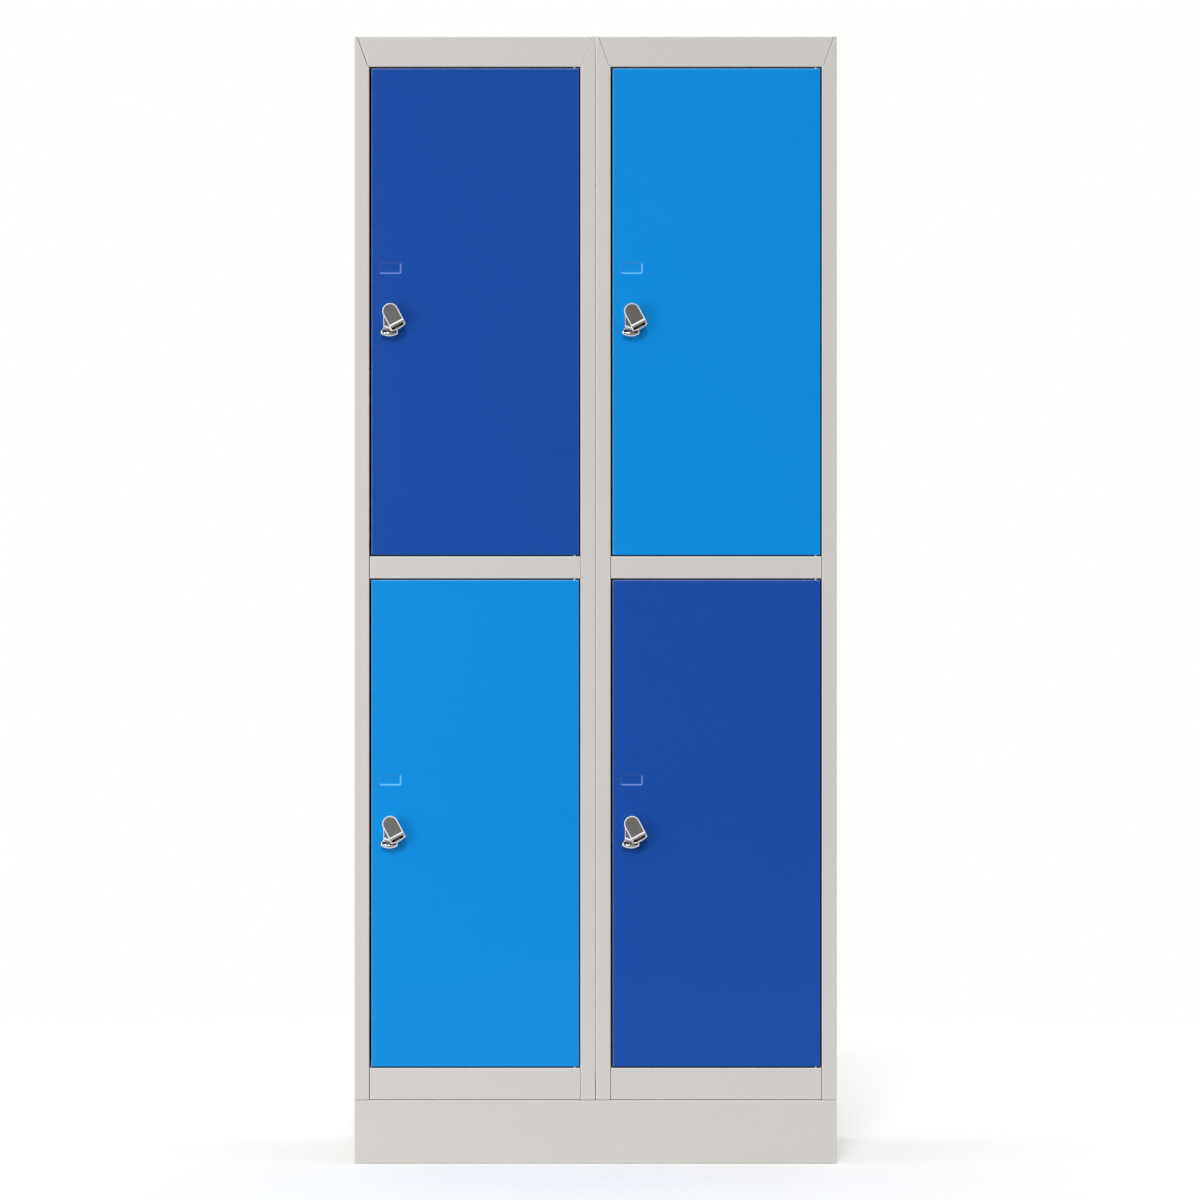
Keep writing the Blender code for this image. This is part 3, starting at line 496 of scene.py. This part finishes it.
def as_object(name, bm):
    bmesh.ops.recalc_face_normals(bm, faces=bm.faces)
    mesh = bpy.data.meshes.new(name)
    bm.to_mesh(mesh)
    bm.free()
    return new_object(name, mesh)


def lofted(name, sections):
    """A solid through flat outlines with as many points each, as (depth, outline) pairs."""
    bm = bmesh.new()
    rings = [[bm.verts.new((x, -depth, z)) for x, z in outline] for depth, outline in sections]
    for ring, following in zip(rings, rings[1:]):
        for index in range(len(ring)):
            bm.faces.new((ring[index - 1], ring[index], following[index], following[index - 1]))
    bm.faces.new(rings[0])
    bm.faces.new(rings[-1])
    return as_object(name, bm)


def turned(name, profile):
    """A solid of revolution about Y; the profile of (radius, y) points is closed by the axis or by itself."""
    bm = bmesh.new()
    verts = [bm.verts.new((radius, y, 0.0)) for radius, y in profile]
    edges = [bm.edges.new(pair) for pair in zip(verts, verts[1:])]
    bmesh.ops.spin(
        bm,
        geom=verts + edges,
        cent=(0, 0, 0),
        axis=(0, 1, 0),
        angle=2 * math.pi,
        steps=TURNED_STEPS,
        use_merge=True,
    )
    bmesh.ops.remove_doubles(bm, verts=bm.verts, dist=AXIS_WELD)
    return as_object(name, bm)


def combine(obj, other, operation):
    modifier = obj.modifiers.new(other.name, "BOOLEAN")
    modifier.operation = operation
    modifier.solver = "EXACT"
    modifier.object = other


def round_edges(obj):
    bevel = obj.modifiers.new("round_edges", "BEVEL")
    bevel.width = EDGE_ROUND
    bevel.segments = EDGE_SEGMENTS
    bevel.limit_method = "ANGLE"
    bevel.angle_limit = EDGE_ANGLE
    bevel.use_clamp_overlap = True
    bevel.harden_normals = False


def finished_mesh(obj, helpers, name):
    """The evaluated mesh of obj, after which obj and its helpers are removed."""
    bpy.context.view_layer.update()
    graph = bpy.context.evaluated_depsgraph_get()
    mesh = bpy.data.meshes.new_from_object(obj.evaluated_get(graph), depsgraph=graph)
    mesh.name = name
    for each in (obj, *helpers):
        bpy.data.objects.remove(each, do_unlink=True)
    return mesh


# ---------------------------------------------------------------- outlines, as (x, z) points


def arc(centre_x, centre_z, radius, start, end, steps):
    """Points round part of a circle, anticlockwise from one angle to another."""
    angles = [start + (end - start) * step / steps for step in range(steps + 1)]
    return [(centre_x + radius * math.cos(angle), centre_z + radius * math.sin(angle)) for angle in angles]


def bow(left, right, ends, sag):
    """Points from left to right along an arc that sags below the height of its ends."""
    half = (right - left) / 2
    radius = (half**2 + sag**2) / (2 * sag)
    reach = math.asin(half / radius)
    down = -math.pi / 2
    return arc((left + right) / 2, ends - sag + radius, radius, down - reach, down + reach, BOW_STEPS)


def tab_outline(radius, drop, sag):
    """A tab with a round top about the pivot and a straight or bowed lower edge."""
    foot = bow(-radius, radius, sag - drop, sag) if sag else [(-radius, -drop), (radius, -drop)]
    return arc(0.0, 0.0, radius, 0.0, math.pi, TAB_STEPS) + foot


def lug_outline(lug, top, inset):
    """A lug that widens from its neck to upright arms above a bowed lower edge, smaller by an inset."""
    neck, left, right = lug.neck - inset, lug.left - inset, lug.right - inset
    ends = lug.bow - (lug.drop - inset)
    arms = ends + LUG_ARM
    return [(right, arms), (neck, top), (-neck, top), (-left, arms)] + bow(-left, right, ends, lug.bow)


def slot_outline(slot, widened=0.0):
    """A level slot with round ends, wider all round by as much as is asked."""
    left, right = slot.left - widened, slot.right + widened
    top, bottom = slot.top + widened, slot.bottom - widened
    radius = (top - bottom) / 2
    middle = (top + bottom) / 2
    half_turn = math.pi / 2
    right_end = arc(right - radius, middle, radius, -half_turn, half_turn, SLOT_STEPS)
    left_end = arc(left + radius, middle, radius, half_turn, 3 * half_turn, SLOT_STEPS)
    return right_end + left_end


# ---------------------------------------------------------------- lock


def round_sections(back, front, rounding):
    """(depth, inset) pairs that go round the back edge of a slab and then round its front edge."""
    angles = [math.pi / 2 * step / ROUND_STEPS for step in range(ROUND_STEPS + 1)]
    turns = [(rounding * (1 - math.sin(angle)), rounding * (1 - math.cos(angle))) for angle in angles]
    round_back = [(back + rise, inset) for rise, inset in reversed(turns)]
    round_front = [(front - rise, inset) for rise, inset in turns]
    return round_back + round_front


def tab_solid(name, tab):
    """A tab with a sloped rim round its flat face."""
    outline = tab_outline(tab.radius, tab.drop, tab.bow)
    face = tab_outline(tab.radius - tab.rim, tab.drop - tab.foot, tab.bow)
    return lofted(name, ((tab.back, outline), (tab.front - tab.rim, outline), (tab.front, face)))


def lug_solid(name, lug, tab):
    """A lug below a tab, with rounded edges and a deep slot that a thin web closes at the back, a sheet put where
    the real slot only has shade, so that it looks dark.
    """
    top = JOIN_OVERLAP - tab.drop
    sections = round_sections(lug.back, lug.front, lug.rounding)
    solid = lofted(name, [(depth, lug_outline(lug, top, inset)) for depth, inset in sections])
    lip = round_sections(lug.back, lug.front, SLOT_ROUND)[ROUND_STEPS + 1 :]
    slot = [(lug.back + SLOT_SHADE_WEB, slot_outline(lug.slot))]
    slot += [(depth, slot_outline(lug.slot, inset)) for depth, inset in lip]
    slot += [(lug.front + CLEARANCE, slot_outline(lug.slot, SLOT_ROUND))]
    cutter = lofted(f"{name}_slot", slot)
    combine(solid, cutter, "DIFFERENCE")
    return new_object(name, finished_mesh(solid, (cutter,), name))


def knob_mesh():
    """The turning half: round-topped knob, slotted lug below, spindle behind."""
    knob = tab_solid("knob", KNOB)
    lug = lug_solid("knob_lug", KNOB_LUG, KNOB)
    inside = -(KNOB.back + KNOB_LUG.back) / 2
    outline = [(0.0, inside), (SPINDLE_RADIUS, inside), (SPINDLE_RADIUS, SPINDLE_END), (0.0, SPINDLE_END)]
    spindle = turned("spindle", outline)
    combine(knob, lug, "UNION")
    combine(knob, spindle, "UNION")
    round_edges(knob)
    return finished_mesh(knob, (lug, spindle), "hasp_knob_shape")


def base_mesh():
    """The fixed half: raised tab with a bowed foot, and a slotted lug flaring below it."""
    base = tab_solid("base", BASE)
    lug = lug_solid("base_lug", BASE_LUG, BASE)
    combine(base, lug, "UNION")
    round_edges(base)
    return finished_mesh(base, (lug,), "hasp_base_shape")


def barrel_mesh():
    """The threaded barrel with the spindle's bore; its front end is inside the raised tab."""
    root = BARREL_RADIUS - THREAD_DEPTH
    profile = [(SPINDLE_RADIUS + CLEARANCE, BARREL_START), (root, BARREL_START)]
    y = BARREL_START + THREAD_PITCH
    while y + THREAD_PITCH < BARREL_END:
        profile += [(root, y), (BARREL_RADIUS, y + THREAD_PITCH / 2)]
        y += THREAD_PITCH
    profile += [(root, y), (root, BARREL_END), (SPINDLE_RADIUS + CLEARANCE, BARREL_END), profile[0]]
    return finished_mesh(turned("barrel", profile), (), "hasp_barrel_shape")


def make_lock_meshes(finish):
    """The lock's three shapes, which all four locks share."""
    meshes = {"knob_casting": knob_mesh(), "base_casting": base_mesh(), "base_barrel": barrel_mesh()}
    for mesh in meshes.values():
        mesh.materials.clear()
        mesh.materials.append(finish)
    return meshes


def place_lock(place, pivot, meshes, group):
    """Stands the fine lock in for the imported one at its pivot."""
    made = {}
    for piece, mesh in meshes.items():
        obj = new_object(f"{piece}_{place}", mesh)
        obj.location = pivot
        shade_by_angle(obj, group)
        made[piece] = obj
    made["knob_casting"].rotation_euler = (0.0, -LOCK_TURN, 0.0)
    bpy.context.view_layer.update()
    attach(made["knob_casting"], f"{place}_lock")
    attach(made["base_casting"], f"{place}_door")
    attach(made["base_barrel"], f"{place}_door")
    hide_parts(f"hasp_knob_{place}")
    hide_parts(f"hasp_base_{place}")


def lock_pivots():
    """Each compartment's lock pivot, from the frame's joints."""
    ending = "_lock_turn"
    locks = [joint for joint in frame["joints"] if joint["name"].endswith(ending)]
    return {joint["name"].removesuffix(ending): Vector(joint["pos_m"]) for joint in locks}


# ---------------------------------------------------------------- fixings


def dome(bm, centre, outward, fixing):
    """Adds a low dome on a surface: a flattened half sphere."""
    made = bmesh.ops.create_uvsphere(
        bm, u_segments=DOME_STEPS, v_segments=DOME_STEPS // 2, radius=fixing.radius
    )
    flatten = Matrix.Diagonal((1.0, 1.0, fixing.height / fixing.radius, 1.0))
    turn = Vector((0, 0, 1)).rotation_difference(Vector(outward)).to_matrix().to_4x4()
    bmesh.ops.transform(bm, matrix=Matrix.Translation(centre) @ turn @ flatten, verts=made["verts"])


def domes(name, points, outward, fixing, finishes, group):
    """One piece of several equal domes on the carcass."""
    bm = bmesh.new()
    for point in points:
        dome(bm, Vector(point), outward, fixing)
    obj = as_object(name, bm)
    obj.data.materials.append(finishes[fixing.slot])
    shade_by_angle(obj, group)
    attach(obj, "carcass")


def evenly(low, high, count):
    return [low + (high - low) * step / (count - 1) for step in range(count)]


def add_back_rivets(finishes, group):
    """Pop rivets down the back edge of each side panel."""
    plinth_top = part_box("plinth_front_and_sides")[1].z
    heights = evenly(plinth_top + RIVET_END, cad_high.z - RIVET_END, RIVET_COUNT)
    for number in (1, 2):
        for side in ("left", "right"):
            low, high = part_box(f"column_{number}_side_{side}")
            x = low.x + FIXING_MARGIN if side == "left" else high.x - FIXING_MARGIN
            points = [(x, high.y, z) for z in heights]
            domes(f"back_rivets_{number}_{side}", points, (0, 1, 0), RIVET, finishes, group)


def add_spot_welds(finishes, group):
    """Spot welds on the outer sides, over the side flanges that hang from the top, the shelf and the base."""
    levels = []
    for sheet, rise in RISE_OF_REAR_FLANGE.items():
        levels.append(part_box(f"column_1_{sheet}")[1].z - rise - FIXING_MARGIN)
    depths = evenly(cad_low.y + WELD_FRONT, cad_high.y - WELD_BACK, WELD_COUNT)
    for side, x, outward in (("left", cad_low.x, -1), ("right", cad_high.x, 1)):
        points = [(x, y, z) for z in levels for y in depths]
        domes(f"spot_welds_{side}", points, (outward, 0, 0), WELD, finishes, group)


# ---------------------------------------------------------------- stage


def add_floor():
    """A disc of floor."""
    bm = bmesh.new()
    bmesh.ops.create_circle(bm, cap_ends=True, segments=FLOOR_STEPS, radius=FLOOR_RADIUS)
    floor = as_object("floor", bm)
    floor.data.materials.append(pale_floor())
    return floor


def aim_light(light, direction):
    light.rotation_mode = "QUATERNION"
    light.rotation_quaternion = Vector(direction).to_track_quat("-Z", "Y")


def add_key():
    """A soft sun, high in front."""
    data = bpy.data.lights.new("key", "SUN")
    data.energy = KEY_STRENGTH
    data.angle = KEY_SPREAD
    aim_light(new_object("key", data), KEY_DIRECTION)


def add_fill(floor):
    """A large soft box on the left that lifts the lower left of the fronts but leaves the floor out."""
    data = bpy.data.lights.new("fill", "AREA")
    data.shape = "SQUARE"
    data.size = FILL_SIZE
    data.energy = FILL_POWER
    fill = new_object("fill", data)
    fill.location = FILL_PLACE
    aim_light(fill, Vector((0.0, cad_low.y, cad_high.z / 2)) - Vector(FILL_PLACE))
    left_out = bpy.data.collections.new("left_out_of_fill")
    left_out.objects.link(floor)
    fill.light_linking.receiver_collection = left_out
    left_out.collection_objects[0].light_linking.link_state = "EXCLUDE"


def add_world():
    """A white studio, dim round the camera, so that paint stays deep and chrome has something to reflect."""
    world = bpy.data.worlds.new("studio")
    world.use_nodes = True
    bpy.context.scene.world = world
    tree = world.node_tree
    direction = axes_of(tree, add(tree, "ShaderNodeTexCoord").outputs["Generated"])
    towards_camera = maths(tree, "MULTIPLY", direction["Y"], -1.0)
    strength = spread(tree, towards_camera, STUDIO_LIGHT, STUDIO_DARK, *LIGHT_TO_DARK)
    lit = add(tree, "ShaderNodeBackground", Color=1.0, Strength=strength).outputs[0]
    seen = add(tree, "ShaderNodeBackground", Color=BACKDROP, Strength=1.0).outputs[0]
    mix = tree.nodes.new("ShaderNodeMixShader")
    by_camera = add(tree, "ShaderNodeLightPath").outputs["Is Camera Ray"]
    feed_in_order(tree, mix, (by_camera, lit, seen))
    feed(tree, tree.nodes["World Output"].inputs["Surface"], mix.outputs[0])


def add_camera():
    """A long lens straight in front, at half the locker's height."""
    data = bpy.data.cameras.new("camera")
    data.sensor_width = CAMERA_SENSOR
    data.lens = CAMERA_SENSOR * CAMERA_DISTANCE / VIEW_WIDTH
    data.clip_end = CAMERA_REACH
    camera = new_object("camera", data)
    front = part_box("plinth_front_and_sides")[0].y
    camera.location = (CAMERA_RIGHT, front - CAMERA_DISTANCE, cad_high.z / 2)
    camera.rotation_euler = (math.pi / 2, 0.0, 0.0)
    bpy.context.scene.camera = camera


# ---------------------------------------------------------------- the locker


def dress_packed_parts(finishes, group):
    """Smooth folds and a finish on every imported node."""
    slots = {part["node"]: part["material_slot"] for part in frame["record"]["subparts"]}
    for name, node in frame["nodes"].items():
        shade_by_angle(node, group)
        # stiffeners get the coat without the painted fold highlight
        inside = "_inside" if name.startswith("door_stiffener") else ""
        node.material_slots[0].material = finishes[slots[name] + inside]


def add_locks(finishes, group):
    meshes = make_lock_meshes(finishes["chrome_plate"])
    for place, pivot in lock_pivots().items():
        place_lock(place, pivot, meshes, group)


finishes = make_finishes()
smooth = smooth_by_angle_group("smooth_by_angle", SMOOTH_ANGLE)
crisp = smooth_by_angle_group("smooth_by_small_angle", LOCK_SMOOTH_ANGLE)
dress_packed_parts(finishes, smooth)
add_locks(finishes, crisp)
add_back_rivets(finishes, smooth)
add_spot_welds(finishes, smooth)
stage_floor = add_floor()
add_key()
add_fill(stage_floor)
add_world()
add_camera()
bpy.context.scene.view_settings.view_transform = "Standard"
